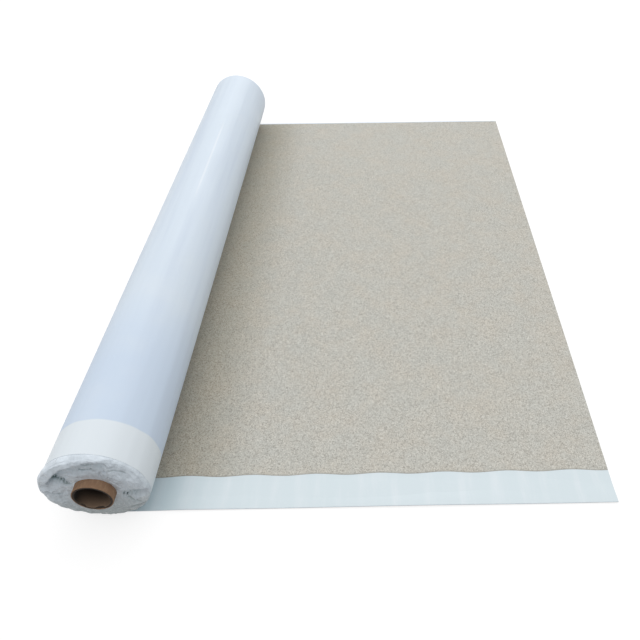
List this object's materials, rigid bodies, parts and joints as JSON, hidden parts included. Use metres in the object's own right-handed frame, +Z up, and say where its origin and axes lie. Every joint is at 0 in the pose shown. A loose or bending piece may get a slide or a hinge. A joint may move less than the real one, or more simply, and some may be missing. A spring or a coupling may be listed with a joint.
{
  "type": "roll of self-adhesive waterproofing membrane",
  "caption": "Roll of sand-coated waterproofing sheet on a cardboard core, partly rolled out flat, with a pale adhesive lap strip along its near edge.",
  "frame": {"origin": "on the floor, at the middle of the object's outline in plan", "axes": "+Z up from the floor, +Y along the roll towards its far end, +X along the sheet from the roll to its cut end"},
  "size_m": [1.2899, 2.07, 0.2282],
  "materials": {
    "white_film": "satin white polyethylene, slightly blue",
    "sand": "matt pale beige-grey sand",
    "lap_film": "smooth pale release film",
    "end_film": "thin crumpled translucent white film",
    "cardboard": "spirally wound brown cardboard"
  },
  "bodies": {
    "root": {"membrane": "white_film", "sand_coat": "sand", "lap_film": "lap_film", "end_film": "end_film", "core_tube": "cardboard"}
  },
  "joints": []
}
